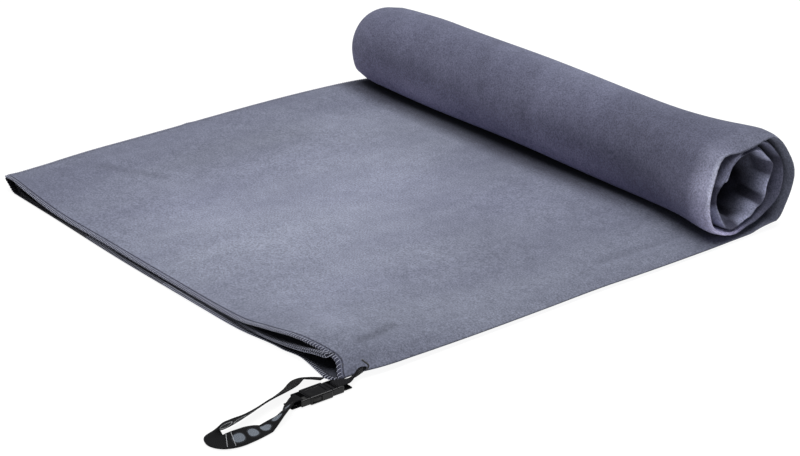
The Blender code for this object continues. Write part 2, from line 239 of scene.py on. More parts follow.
def near_end_share(x):
    """0 along most of the roll, rising to 1 at its near end."""
    return ease(x, 60, 190) ** 2.2


def crumple(angle, x):
    """Soft folds round the roll's near end, more on the inner turns. Positive is outwards."""
    folds = 3.0 * (0.62 - np.abs(np.sin(2.5 * angle + x / 19 + 0.9))) + 0.9 * np.sin(7 * angle - x / 10)
    return folds * ease(x, 120, 184) * (0.15 + 1.25 * ease(np.degrees(angle), 400, 620))


def roll_radius(angle, x):
    """Radius of the pack's middle round the roll's centre."""
    turned = np.degrees(angle)
    even = MID_RADIUS - PITCH_PER_RADIAN * angle
    near = near_end_share(x)
    flare = along(turned, NEAR_END_FLARE) * near
    puff = 3.2 * bump(turned, 150, 78) * (1 - near) * ease(x, -186, -120)
    dents = 0.55 * np.sin(3 * angle + x / 43) + 0.3 * np.sin(5 * angle - x / 27 + 1.0)
    dents += 0.8 * bump(turned % 360, 236, 30) * np.sin(x / 17 + 0.6) * ease(x, -60, 20)
    dents += crumple(angle, x)
    dents -= 7.0 * ease(x, 172, 190) * bump(turned, 188, 28)
    far = 1.6 * bump(turned % 360, 262, 34) * ease(-x, 120, 190) - 2.6 * ease(-x, 170, 188)
    soft = (puff + far) * ease(angle, 0, 0.5) + dents * 0.7 * ease(angle, 0.3, 0.9)
    return even + flare * ease(angle, 0, 0.3) + soft


def cloth_points(u, s):
    """Where points of the flat cloth lie, in millimetres, as an array (..., 3)."""
    u, s = np.broadcast_arrays(np.asarray(u, float), np.asarray(s, float))
    share, turn, weights = place_across(u)
    rolled = ease(s, FLAT_LENGTH - 40, FLAT_LENGTH + 20)
    inner = weights[1] + weights[2]
    near_inset = (1.6 + 13 * np.exp(-s / 55)) * (inner > 0.01)
    near_bulge = along(s, [(0, 0), (14, 0.6), (26, 2.6), (50, 3.2), (110, 3.6), (155, 3.2), (210, 1.2)])
    near_reach = PACK_HALF - 3.2 - near_inset + near_bulge * (1 - rolled)
    far_bulge = along(s, [(0, -9.5), (6, -7.0), (16, -4.2), (44, -0.2), (110, 3.9), (300, 4.6), (350, 0)])
    far_reach = PACK_HALF - 1.2 - 1.3 * inner + far_bulge - 3.0 * weights[3] * np.exp(-s / 12)
    reach = np.where(share > 0, near_reach, far_reach)
    x = share * reach
    angle = wound_angle(s)
    ragged = along(np.degrees(angle), NEAR_END_REACH) * rolled + 0.35 * np.sin(s / 16)
    x = x + np.sign(share) * turn * np.where(share > 0.5, np.where(inner > 0.9, 0.9, 3.0), 0.9)
    x = x + ragged * ease(x, 130, 188) * (0.25 + 0.75 * rolled)
    x = x + 0.8 * np.sin(s / 38 + 1.1) * ease(x, 130, 188) * (1 - rolled)
    x = x - 0.9 * np.sin(s / 33 + 0.4) * ease(-x, 130, 188)

    lifts = (
        0.12 * (1 + np.sin(x / 23 + s / 31)) + bottom_lift(x, s),
        inner_lift(x, s) * (1 - rolled),
        inner_lift(x, s) * 1.12 * (1 - rolled),
        top_lift(x, s) * (1 - rolled),
    )
    spread = 1 + 1.15 * ease(x, 150, 186) * rolled
    low = CLOTH_THICK / 2 + 0.1 + 0.4 * np.exp(-s / 4)
    height = np.zeros_like(x)
    shift = np.zeros_like(x)
    for layer in range(4):
        level = low + LAYER * layer + lifts[layer]
        inside = (level - PACK_THICK / 2) * spread
        height = height + weights[layer] * inside
        shift = shift + weights[layer] * hem_shift(x, layer)
    lie = shift * along(s, [(0, 1), (20, 0.8), (80, 0.25), (160, 0)])

    radius = roll_radius(angle, x) - height
    flat = s < FLAT_LENGTH
    sag = 5.5 * bump(np.degrees(angle), 322, 30) * (1 - near_end_share(x))
    y = np.where(flat, HEM_Y + s + lie, ROLL_Y + radius * np.sin(angle) - sag)
    centre = PACK_THICK / 2 + MID_RADIUS
    z = np.where(flat, PACK_THICK / 2 + height, centre - radius * np.cos(angle))
    return np.stack([x, y, z], axis=-1)


def cloth_frames(u, s, step=0.4):
    """Points with unit directions across the cloth, along it and off its face."""
    u, s = np.broadcast_arrays(np.asarray(u, float), np.asarray(s, float))
    points = cloth_points(u, s)
    ahead = np.clip(u + step, 0, CLOTH_WIDTH), np.clip(s + step, 0, CLOTH_LENGTH)
    behind = np.clip(u - step, 0, CLOTH_WIDTH), np.clip(s - step, 0, CLOTH_LENGTH)
    across = cloth_points(ahead[0], s) - cloth_points(behind[0], s)
    lengthwise = cloth_points(u, ahead[1]) - cloth_points(u, behind[1])
    across /= np.linalg.norm(across, axis=-1, keepdims=True)
    lengthwise /= np.linalg.norm(lengthwise, axis=-1, keepdims=True)
    normal = np.cross(across, lengthwise)
    normal /= np.linalg.norm(normal, axis=-1, keepdims=True)
    return points, across, lengthwise, normal


# Paler (above 0) or darker marks on the flat half: x, y, then x, y of the mark's other end, its half
# width and by how much. The narrow ones are creases, with painted shade along them and a painted
# highlight beside one.
FLAT_MARKS = [
    (-132, -60, -132, 20, 24, -0.18),
    (-80, 98, 5, 98, 32, -0.13),
    (80, 10, 105, 0, 30, -0.10),
    (94, -130, 94, -95, 24, 0.16),
    (128, -142, 138, -146, 15, 0.22),
    (-57, -105, -50, -95, 28, 0.09),
    (-19, 20, -19, -20, 26, 0.08),
    (57, 60, 66, 64, 24, 0.09),
    (-132, 60, -128, 66, 18, 0.08),
    (171, -150, 160, -118, 3.4, -0.30),
    (164, 40, 166, 96, 3.2, -0.22),
    (166, 40, 168, 96, 3.6, 0.14),
    (-160, -116, -119, -90, 3.4, -0.20),
]


# The same on the roll, with degrees round it instead of y. Each dark line with a pale one beside it is
# painted shade and painted highlight along a crease.
ROLL_MARKS = [
    (-62, 165, -40, 250, 5, -0.16),
    (-54, 165, -32, 250, 4, 0.12),
    (-8, 185, 10, 285, 6, -0.14),
    (2, 185, 20, 285, 5, 0.12),
    (52, 175, 66, 225, 8, 0.10),
    (96, 200, 110, 300, 7, -0.10),
    (-150, 170, -128, 240, 7, 0.10),
]


def mark_and_shade_gain(x, y, marks):
    """How pale the marks make the cloth, 1 where nothing marks it; painted shade and highlight along creases.
    """
    gain = np.ones_like(x)
    for start_x, start_y, end_x, end_y, half, change in marks:
        run = np.array([end_x - start_x, end_y - start_y])
        share = np.clip(((x - start_x) * run[0] + (y - start_y) * run[1]) / (run @ run), 0, 1)
        away = np.hypot(x - start_x - share * run[0], y - start_y - share * run[1])
        gain += change * bump(away, 0, half)
    return gain


# ---- materials ----


class Shader:
    """A material's Principled shader, with short ways to add the nodes that feed it."""

    def __init__(self, name, **settings):
        self.material = bpy.data.materials.new(name)
        self.material.use_nodes = True
        self.tree = self.material.node_tree
        self.main = self.tree.nodes["Principled BSDF"]
        for socket, value in settings.items():
            self.main.inputs[socket.replace("_", " ")].default_value = value

    def node(self, kind, **settings):
        made = self.tree.nodes.new(kind)
        for key, value in settings.items():
            setattr(made, key, value)
        return made

    def link(self, source, target):
        self.tree.links.new(source, target)

    def coordinates(self, which="Object", scale=(1, 1, 1), shift=(0, 0, 0)):
        """The object's own coordinates or its UVs, scaled and shifted."""
        mapping = self.node("ShaderNodeMapping")
        mapping.inputs["Scale"].default_value = scale
        mapping.inputs["Location"].default_value = shift
        self.link(self.node("ShaderNodeTexCoord").outputs[which], mapping.inputs["Vector"])
        return mapping.outputs["Vector"]

    def parts(self, vector):
        """A node whose outputs X, Y and Z are the parts of a vector."""
        made = self.node("ShaderNodeSeparateXYZ")
        self.link(vector, made.inputs["Vector"])
        return made

    def noise(self, vector, scale, detail=3.0, roughness=0.55):
        """Smooth noise from 0 to 1."""
        made = self.node("ShaderNodeTexNoise")
        made.inputs["Scale"].default_value = scale
        made.inputs["Detail"].default_value = detail
        made.inputs["Roughness"].default_value = roughness
        self.link(vector, made.inputs["Vector"])
        return made.outputs["Fac"]

    def ramp(self, value, *stops):
        """The colour for a value, between (place, colour) stops. A colour of one number is a grey."""
        made = self.node("ShaderNodeValToRGB")
        elements = made.color_ramp.elements
        while len(elements) < len(stops):
            elements.new(0.5)
        for element, (place, colour) in zip(elements, stops):
            element.position = place
            element.color = (*(colour if isinstance(colour, tuple) else (colour,) * 3), 1)
        self.link(value, made.inputs["Fac"])
        return made.outputs["Color"]

    def mix(self, factor, first, second, blend="MIX"):
        """Two colours mixed. Each of the three values is a socket or a constant."""
        made = self.node("ShaderNodeMix", data_type="RGBA", blend_type=blend)
        for socket, value in ((0, factor), (6, first), (7, second)):
            if isinstance(value, bpy.types.NodeSocket):
                self.link(value, made.inputs[socket])
            elif socket:
                made.inputs[socket].default_value = (*value, 1)
            else:
                made.inputs[socket].default_value = value
        return made.outputs[2]

    def times(self, first, second):
        """Two colours multiplied."""
        return self.mix(1.0, first, second, "MULTIPLY")

    def maths(self, operation, first, second=0.0, third=0.0):
        """One step of arithmetic on sockets or constants."""
        made = self.node("ShaderNodeMath", operation=operation)
        for socket, value in zip(made.inputs, (first, second, third)):
            if isinstance(value, bpy.types.NodeSocket):
                self.link(value, socket)
            else:
                socket.default_value = value
        return made.outputs[0]

    def share_past(self, value, start, length):
        """How far a value lies past start, as a share of length."""
        return self.maths("DIVIDE", self.maths("SUBTRACT", value, start), length)

    def bumps(self, *layers):
        """Adds bump layers, each (height, strength, distance in metres), one on the other."""
        normal = None
        for height, strength, distance in layers:
            made = self.node("ShaderNodeBump")
            made.inputs["Strength"].default_value = strength
            made.inputs["Distance"].default_value = distance
            self.link(height, made.inputs["Height"])
            if normal:
                self.link(normal, made.inputs["Normal"])
            normal = made.outputs["Normal"]
        self.link(normal, self.main.inputs["Normal"])

    def colour(self, socket):
        self.link(socket, self.main.inputs["Base Color"])


# In metres. The middle of the painted pool of light on the flat half, how far along X and Y the
# painted light fades round it, and where along the cloth the roll's painted shadow begins and the nap
# turns, each over the length NAP_BLEND.
LIGHT_POOL_AT = (-0.030, -0.035)
LIGHT_POOL_REACH = (0.155, 0.170)
ROLL_START = FLAT_LENGTH * MM
SHADOW_FROM = ROLL_START - 0.044
NAP_TURNS_AT = ROLL_START - 0.012
NAP_BLEND = 0.03
# Light reaches into the roll's open core from its near end, and is gone at INSIDE_FROM along X.
INSIDE_FROM = 0.12
INSIDE_DEPTH = 0.062
FLAT_TONE = (0.985, 0.985, 0.985)


def flat_nap(made, strokes, along_cloth, along_roll):
    """The flat half's colour: a painted pool of light in its middle, painted shadow before the roll, painted
    shade along its hem.
    """
    flat = made.ramp(strokes, (0.35, (0.156, 0.165, 0.222)), (0.68, (0.218, 0.233, 0.292)))
    # Painted pool of light: the flat half is painted palest round one spot and darker out towards its edges.
    scale = (1 / LIGHT_POOL_REACH[0], 1 / LIGHT_POOL_REACH[1], 0)
    shift = (-LIGHT_POOL_AT[0] / LIGHT_POOL_REACH[0], -LIGHT_POOL_AT[1] / LIGHT_POOL_REACH[1], 0)
    distance = made.node("ShaderNodeVectorMath", operation="LENGTH")
    made.link(made.coordinates(scale=scale, shift=shift), distance.inputs[0])
    lie = made.ramp(
        made.maths("MULTIPLY", distance.outputs["Value"], 0.5),
        (0.0, 1), (0.22, 0.98), (0.5, (0.77, 0.77, 0.78)), (0.9, (0.55, 0.55, 0.57)),
    )
    flat = made.times(made.times(flat, lie), FLAT_TONE)
    before_roll = made.share_past(along_cloth, SHADOW_FROM, NAP_BLEND)
    shadow = made.ramp(before_roll, (0.0, 1), (0.4, (0.50, 0.49, 0.50)), (0.8, (0.30, 0.30, 0.31)))
    roll_middle = made.ramp(along_roll, (0.3, 1), (0.7, 0))
    flat = made.mix(roll_middle, flat, made.times(flat, shadow))
    # Painted shade along the front hem: darker under the overlock and along the stitch line, less dark
    # between them.
    hem = made.ramp(
        made.maths("MULTIPLY", along_cloth, 100),
        (0.0, (0.36, 0.35, 0.40)), (0.24, (0.36, 0.35, 0.40)), (0.28, (0.80, 0.80, 0.82)),
        (0.34, (0.80, 0.80, 0.82)), (0.36, (0.34, 0.33, 0.38)), (0.43, (0.34, 0.33, 0.38)), (0.48, 1),
    )
    return made.times(flat, hem)


def rolled_nap(made, strokes, along_cloth, reach, along_roll):
    """The rolled half's colour: painted light and shade round its turns, and painted shade in the core and in
    the folds' valleys.
    """
    rolled = made.ramp(strokes, (0.35, (0.275, 0.280, 0.420)), (0.68, (0.370, 0.380, 0.545)))
    # Painted light and shade round each turn: lighter or darker by which way each part of the roll faces the
    # light.
    turned = made.ramp(
        along_cloth,
        (0.392, (0.54, 0.56, 0.52)), (0.408, (0.39, 0.40, 0.38)), (0.425, (0.31, 0.315, 0.31)),
        (0.440, 0.32), (0.458, (0.43, 0.42, 0.43)), (0.474, (0.68, 0.64, 0.68)),
        (0.482, (0.95, 0.88, 0.95)), (0.50, 0.40), (0.61, 0.42), (0.65, (1.12, 1.14, 1.08)),
    )
    rolled = made.times(rolled, turned)
    inside_roll = made.ramp(along_cloth, (0.50, 0), (0.52, 1))
    shade = made.ramp(
        made.share_past(reach, INSIDE_FROM, INSIDE_DEPTH),
        (0.0, (0.06, 0.06, 0.07)), (0.5, (0.13, 0.12, 0.14)), (0.8, 0.50), (1.0, 1),
    )
    # Painted shade in the fold valleys and a painted highlight on the ridges, read from the folds' heights.
    crease = made.node("ShaderNodeAttribute", attribute_name="fold_height")
    fold_valley_shade = made.ramp(
        made.maths("MULTIPLY_ADD", crease.outputs["Fac"], 0.18, 0.5),
        (0.28, 1.15), (0.50, 0.90), (0.74, (0.28, 0.27, 0.29)),
    )
    rolled = made.mix(inside_roll, rolled, made.times(rolled, made.times(shade, fold_valley_shade)))
    near_end = made.ramp(along_roll, (0.2, 1), (0.65, 0.76), (0.9, 0.86))
    return made.times(rolled, near_end)


def with_painted_fold_light(made, rolled, across_cloth, along_cloth):
    """The rolled half with painted shade, then a painted highlight along its outer fold, brightest at the
    very edge.
    """
    fold_at = 3 * QUARTER * MM
    fold = made.maths("ABSOLUTE", made.maths("SUBTRACT", across_cloth, fold_at))
    on_fold = made.ramp(made.maths("MULTIPLY", fold, 50), (0.30, 1), (0.95, 0))
    # Painted shade, then painted highlight, along the outer fold round the turn.
    rim = made.ramp(
        along_cloth,
        (0.33, 0.80), (0.36, (0.74, 0.74, 0.73)), (0.405, (0.86, 0.86, 0.85)),
        (0.43, (1.3, 1.3, 1.26)), (0.450, (2.2, 2.2, 2.05)), (0.480, (1.9, 1.9, 1.8)), (0.497, 1),
    )
    rolled = made.mix(on_fold, rolled, made.times(rolled, rim))
    # A painted highlight along the very edge of the fold.
    edge = made.ramp(made.maths("MULTIPLY", fold, 100), (0.10, 1), (0.34, 0))
    fold_edge_highlight = made.ramp(
        along_cloth,
        (0.428, 1), (0.444, (1.62, 1.64, 1.54)), (0.466, (1.5, 1.52, 1.44)), (0.484, 1),
    )
    return made.mix(edge, rolled, made.times(rolled, fold_edge_highlight))


def suede_material(name, depth):
    """Brushed microfibre: a fine mottled nap, with faint paler and darker strokes.

    The nap lies the other way on the rolled half, whose darker sheen is painted in, a painted pool of
    light lies in the middle of the flat half, and depth darkens the reverse face as painted shade for
    the insides of the folds and the pack.
    """
    made = Shader(
        name, Roughness=0.95, Sheen_Weight=0.12, Sheen_Roughness=0.5, Sheen_Tint=(0.62, 0.66, 0.80, 1),
        Specular_IOR_Level=0.1,
    )
    place = made.coordinates()
    reach = made.parts(place).outputs["X"]
    along_roll = made.maths("MULTIPLY", reach, 5)
    on_cloth = made.parts(made.coordinates("UV"))
    across_cloth, along_cloth = on_cloth.outputs["X"], on_cloth.outputs["Y"]
    strokes = made.noise(made.coordinates(scale=(1, 0.35, 1)), 9, 4, 0.6)
    flat = flat_nap(made, strokes, along_cloth, along_roll)
    rolled = rolled_nap(made, strokes, along_cloth, reach, along_roll)
    rolled = with_painted_fold_light(made, rolled, across_cloth, along_cloth)
    roll_mask = made.ramp(made.share_past(along_cloth, NAP_TURNS_AT, NAP_BLEND), (0.0, 0), (1.0, 1))
    # Patches, with painted shade and highlight along creases and painted shade on the covered hems.
    marks_and_shade = made.node("ShaderNodeAttribute", attribute_name="mark_and_shade_gain")
    patches = made.times(made.mix(roll_mask, flat, rolled), marks_and_shade.outputs["Fac"])
    nap = made.noise(place, 900, 4, 0.7)
    speckle = made.ramp(nap, (0.38, 0.70), (0.62, (1.28, 1.28, 1.29)))
    mottle = made.noise(place, 140, 3, 0.6)
    clouds = made.ramp(mottle, (0.3, (0.90, 0.90, 0.91)), (0.7, 1.09))
    cloth = made.times(made.times(patches, speckle), clouds)
    made.colour(made.times(cloth, (depth, depth, depth)))
    made.bumps((mottle, 0.25, 0.0006), (nap, 0.35, 0.0003))
    return made.material


THREAD_TWIST = 2600


def thread_material(name, dark, light):
    """Sewing thread: a twisted strand, with a painted highlight on its crowns."""
    made = Shader(name, Roughness=0.7, Sheen_Weight=0.15)
    strands = made.noise(made.coordinates(), THREAD_TWIST, 2)
    made.colour(made.ramp(strands, (0.3, dark), (0.7, light)))
    made.bumps((strands, 0.4, 0.0002))
    return made.material


def weave_height(made, uv, ribs_across, picks_per_metre):
    """Height of a ribbed weave from a webbing's UVs, x across it from 0 to 1 and y along in metres."""
    split = made.parts(uv)
    ribs = made.maths("SINE", made.maths("MULTIPLY", split.outputs["X"], math.tau * ribs_across))
    picks = made.maths("SINE", made.maths("MULTIPLY", split.outputs["Y"], math.tau * picks_per_metre))
    return made.maths("MULTIPLY", ribs, picks), split


def plain_webbing_material():
    """The tab's black ribbed webbing."""
    made = Shader("plain_webbing", Roughness=0.85, Specular_IOR_Level=0.12)
    weave, _ = weave_height(made, made.coordinates("UV"), 6, 900)
    # The colour follows the weave's height: painted shade in the rib valleys and a painted highlight on the
    # ribs.
    made.colour(made.ramp(weave, (0.0, (0.004, 0.004, 0.005)), (1.0, (0.020, 0.020, 0.023))))
    made.bumps((weave, 0.6, 0.0002))
    return made.material


# In metres along the webbing, and as a share of its width across it.
OVAL_PITCH = 0.0100
OVAL_HALF_LENGTH = 0.0034
OVAL_HALF_WIDTH = 0.25
OVAL_POWER = 2.4


def oval_mask(made, split, first_oval, stretch, grow=0.0):
    """1 inside a row of ovals along a stretch of the webbing, 0 between them and beyond it."""
    along_strap = made.maths("SUBTRACT", split.outputs["Y"], first_oval)
    cell = made.maths("DIVIDE", along_strap, OVAL_PITCH)
    offset = made.maths("SUBTRACT", cell, made.maths("ROUND", cell))
    length = made.maths("MULTIPLY", offset, OVAL_PITCH / (OVAL_HALF_LENGTH + grow * 0.01))
    width = made.maths("DIVIDE", made.maths("SUBTRACT", split.outputs["X"], 0.5), OVAL_HALF_WIDTH + grow)
    lengthwise = made.maths("POWER", made.maths("ABSOLUTE", length), OVAL_POWER)
    sideways = made.maths("POWER", made.maths("ABSOLUTE", width), OVAL_POWER)
    inside = made.maths("LESS_THAN", made.maths("ADD", lengthwise, sideways), 1.0)
    after = made.maths("GREATER_THAN", split.outputs["Y"], stretch[0])
    before = made.maths("LESS_THAN", split.outputs["Y"], stretch[1])
    return made.maths("MULTIPLY", inside, made.maths("MULTIPLY", after, before))


def patterned_webbing_material(name, ground, oval, rim, first_oval, stretch):
    """Jacquard webbing: a ribbed ground with a row of plain ovals, each with a thin rim."""
    made = Shader(name, Roughness=0.8, Specular_IOR_Level=0.12)
    weave, split = weave_height(made, made.coordinates("UV"), 7, 950)
    shade = made.ramp(weave, (0.0, 0.75), (1.0, 1.15))
    rimmed = made.mix(oval_mask(made, split, first_oval, stretch, 0.07), ground, rim)
    pattern = made.mix(oval_mask(made, split, first_oval, stretch), rimmed, oval)
    made.colour(made.times(pattern, shade))
    made.bumps((weave, 0.6, 0.0002))
    return made.material


def plastic_material():
    """Moulded acetal: satin black with a fine spark-eroded grain."""
    made = Shader("buckle_acetal", Specular_IOR_Level=0.26)
    place = made.coordinates()
    grain = made.noise(place, 2400, 2)
    wear = made.noise(place, 260, 3)
    made.colour(made.ramp(wear, (0.35, (0.003, 0.003, 0.004)), (0.7, (0.008, 0.008, 0.009))))
    rough = made.node("ShaderNodeMapRange")
    made.link(wear, rough.inputs["Value"])
    rough.inputs["To Min"].default_value = 0.16
    rough.inputs["To Max"].default_value = 0.26
    made.link(rough.outputs["Result"], made.main.inputs["Roughness"])
    made.bumps((grain, 0.25, 0.00008))
    return made.material


def floor_material():
    """A plain white ground that lights itself, so that it stays even."""
    return Shader(
        "white_floor", Roughness=0.9, Base_Color=(0.12, 0.12, 0.12, 1), Emission_Color=(1, 1, 1, 1),
        Emission_Strength=0.92, Specular_IOR_Level=0.0,
    ).material


# ---- meshes ----


def mesh_object(name, points, faces, finish, smooth=True):
    """A mesh object from points in millimetres."""
    mesh = bpy.data.meshes.new(name)
    mesh.from_pydata((np.asarray(points) * MM).tolist(), [], faces)
    mesh.materials.append(finish)
    if smooth:
        mesh.shade_smooth()
    obj = bpy.data.objects.new(name, mesh)
    bpy.context.scene.collection.objects.link(obj)
    return obj


def grid_faces(rows, columns):
    """Four-sided faces of a grid of points."""
    made = []
    for r in range(rows - 1):
        for c in range(columns - 1):
            a = r * columns + c
            made.append((a, a + 1, a + columns + 1, a + columns))
    return made


def tube_faces(rings, sides, first=0):
    """Faces of a closed tube with capped ends."""
    made = []
    for r in range(rings - 1):
        for k in range(sides):
            a = first + r * sides + k
            b = first + r * sides + (k + 1) % sides
            made.append((a, b, b + sides, a + sides))
    made.append(tuple(first + k for k in reversed(range(sides))))
    last = first + (rings - 1) * sides
    made.append(tuple(last + k for k in range(sides)))
    return made


def graded(end, *stretches):
    """Places up to the end. Each stretch is where it starts and about how far apart its places are."""
    stops = [start for start, _ in stretches[1:]] + [end]
    runs = [
        np.linspace(start, stop, max(2, round((stop - start) / step) + 1))
        for (start, step), stop in zip(stretches, stops)
    ]
    return np.unique(np.round(np.concatenate(runs), 4))


def make_cloth():
    """The sheet as one mesh, closer set round its folds, given its thickness by a modifier."""
    across = graded(
        CLOTH_WIDTH, (0, 4), (40, 14), (250, 6), (QUARTER - INNER_FOLD_ARC, 0.8),
        (QUARTER + INNER_FOLD_ARC, 6), (500, 14), (2 * QUARTER - FAR_FOLD_ARC, 0.8),
        (2 * QUARTER + FAR_FOLD_ARC, 9), (950, 5), (3 * QUARTER - NEAR_FOLD_ARC, 1.0),
        (3 * QUARTER + NEAR_FOLD_ARC, 2.6), (1200, 5),
    )
    lengthwise = graded(CLOTH_LENGTH, (0, 2.5), (30, 4), (FLAT_LENGTH - 20, 3), (FLAT_LENGTH + 40, 3.6))
    u, s = np.meshgrid(across, lengthwise)
    faces = grid_faces(len(lengthwise), len(across))
    points = cloth_points(u, s).reshape(-1, 3)
    # The reverse face is darkened: painted shade for the insides of the folds and the pack.
    cloth = mesh_object("towel_cloth", points, faces, suede_material("towel_reverse_painted_shade", 0.26))
    cloth.data.materials.append(suede_material("towel_suede", 1.0))
    flat = np.column_stack([u.ravel(), s.ravel()]) * MM
    layer = cloth.data.uv_layers.new(name="UVMap")
    layer.data.foreach_set("uv", flat[np.array(faces).ravel()].ravel())
    heights = crumple(wound_angle(s), PACK_HALF * place_across(u)[0])
    turned = np.degrees(wound_angle(s.ravel()))
    flat_gain = mark_and_shade_gain(points[:, 0], points[:, 1], FLAT_MARKS)
    roll_gain = mark_and_shade_gain(points[:, 0], turned, ROLL_MARKS)
    gains = np.where(s.ravel() < FLAT_LENGTH - 20, flat_gain, roll_gain)
    # Painted shade: the covered layers are darkened along their hem, under the top layer, away from the near
    # corner.
    covered = (u.ravel() < 3 * QUARTER) * (1 - ease(s.ravel(), 16, 40))
    gains *= 1 - 0.72 * covered * ease(-points[:, 0], 10, 90)
    for attribute, values in (("fold_height", heights.ravel()), ("mark_and_shade_gain", gains)):
        made = cloth.data.attributes.new(attribute, "FLOAT", "POINT")
        made.data.foreach_set("value", values)
    solid = cloth.modifiers.new("cloth thickness", "SOLIDIFY")
    solid.thickness = CLOTH_THICK * MM
    solid.offset = 0
    solid.material_offset = 1
    solid.material_offset_rim = 1
    return cloth


def add_thread(points, faces, line, radius, sides=5):
    """Adds one round thread that follows a line of points."""
    line = np.asarray(line, float)
    tangents = np.gradient(line, axis=0)
    tangents /= np.linalg.norm(tangents, axis=1, keepdims=True)
    side = np.cross(tangents[0], tangents[-1] + tangents[0] + np.array([0.13, 0.07, 0.31]))
    first = len(points)
    for place, tangent in zip(line, tangents):
        side = side - tangent * side.dot(tangent)
        side /= np.linalg.norm(side)
        other = np.cross(tangent, side)
        for k in range(sides):
            angle = math.tau * k / sides
            points.append(place + radius * (math.cos(angle) * side + math.sin(angle) * other))
    faces.extend(tube_faces(len(line), sides, first))


OVERLOCK_PITCH = 1.8
OVERLOCK_WIDE = 2.5
OVERLOCK_RADIUS = 0.24
# As shares of the pack's half width, towards its far side.
DIM_FROM = 0.1
DARK_FROM = -0.4


def overlock(name, finish, places, inward):
    """Overlock stitches round an edge of the sheet. places are (u, s) on the edge, inward the way in."""
    places = np.array(places, float)
    inward = np.array(inward, float)
    sideways = np.array([inward[1], inward[0]])
    points, faces = [], []
    lift = CLOTH_THICK / 2 + OVERLOCK_RADIUS * 0.7
    profile = [(1.0, 1.0), (0.45, 1.05), (0.0, 0.8), (-0.09, 0.0), (0.0, -0.8), (0.45, -1.05), (1.0, -1.0)]
    lines = []
    for t, (depth, height) in enumerate(profile):
        slant = (t / (len(profile) - 1) - 0.5) * OVERLOCK_PITCH * 0.8
        spot = places + inward * max(depth, 0) * OVERLOCK_WIDE + sideways * slant
        u = np.clip(spot[:, 0], 0, CLOTH_WIDTH)
        s = np.clip(spot[:, 1], 0, CLOTH_LENGTH)
        where, across, lengthwise, normal = cloth_frames(u, s)
        out = -(across * inward[0] + lengthwise * inward[1])
        lines.append(where + normal * lift * height + out * max(-depth, 0) * OVERLOCK_WIDE)
    for line in np.array(lines).transpose(1, 0, 2):
        add_thread(points, faces, line, OVERLOCK_RADIUS, sides=4)
    return mesh_object(name, points, faces, finish)


def darken_covered(stitches, across, *finishes):
    """Dimmer, then darker thread on the covered layers, whose stitches the top layer shades."""
    for finish in finishes:
        stitches.data.materials.append(finish)
    faces_each = len(stitches.data.polygons) // len(across)
    shares = place_across(across)[0]
    for number, polygon in enumerate(stitches.data.polygons):
        stitch = number // faces_each
        if across[stitch] < 3 * QUARTER and shares[stitch] < DIM_FROM:
            polygon.material_index = 2 if shares[stitch] < DARK_FROM else 1


TOPSTITCH_INSET = 3.9
TOPSTITCH_RADIUS = 0.22
TOPSTITCH_PROUD = 0.12
TOPSTITCH_SINK = 0.35
TOPSTITCH_PITCH = 3.0
TOPSTITCH_LENGTH = 2.3


def topstitch(name, finish):
    """A row of straight stitches, seen on both faces of the cloth, inside the front hem."""
    points, faces = [], []
    starts = np.arange(2.0, CLOTH_WIDTH - 4, TOPSTITCH_PITCH)
    for face in (1, -1):
        lines = []
        for share, sunk in ((0, TOPSTITCH_SINK), (0.25, 0.0), (0.75, 0.0), (1, TOPSTITCH_SINK)):
            where, _, _, normal = cloth_frames(starts + share * TOPSTITCH_LENGTH, TOPSTITCH_INSET)
            lines.append(where + face * normal * (CLOTH_THICK / 2 + TOPSTITCH_PROUD - sunk))
        for line in np.array(lines).transpose(1, 0, 2):
            add_thread(points, faces, line, TOPSTITCH_RADIUS, sides=4)
    return mesh_object(name, points, faces, finish)


def make_hems(cloth):
    """The stitches of the hems. They ride with the cloth, and both are attached to the towel's body here."""
    pale = thread_material("overlock_thread", (0.150, 0.158, 0.215), (0.420, 0.435, 0.520))
    dark = thread_material("topstitch_thread", (0.008, 0.009, 0.016), (0.026, 0.028, 0.044))
    across = np.arange(1.0, CLOTH_WIDTH, OVERLOCK_PITCH)
    lengthwise = np.arange(1.0, CLOTH_LENGTH, OVERLOCK_PITCH)
    made = {
        "front_hem_overlock": overlock("hem_overlock_front", pale, [(u, 0) for u in across], (0, 1)),
        "inner_hem_overlock": overlock(
            "hem_overlock_inner", pale, [(u, CLOTH_LENGTH) for u in across], (0, -1)
        ),
        "side_hem_overlock_lower": overlock("hem_overlock_lower", pale, [(0, s) for s in lengthwise], (1, 0)),
        "side_hem_overlock_upper": overlock(
            "hem_overlock_upper", pale, [(CLOTH_WIDTH, s) for s in lengthwise], (-1, 0)
        ),
        "front_hem_topstitch": topstitch("hem_topstitch", dark),
    }
    darken_covered(
        made["front_hem_overlock"], across,
        thread_material("overlock_thread_dim", (0.070, 0.073, 0.100), (0.180, 0.186, 0.230)),
        thread_material("overlock_thread_dark", (0.016, 0.016, 0.024), (0.044, 0.044, 0.060)),
    )
    for node, piece in made.items():
        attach(piece, "towel")
        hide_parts(node)
    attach(cloth, "towel")
    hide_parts("towel_flat_panel", "towel_roll")


# ---- webbing ----
# Routes of the CAD model's straps, in metres, with more lean beside the socket. The loop: x, y, lean in
# degrees, then the low edge's height and the width where they aren't LOW_EDGE and WEBBING_WIDTH. Its
# rise to the socket: x, y, z. The tab: x, y, z, lean and width.

LOW_EDGE = 0.0002
WEBBING_WIDTH = 0.0102

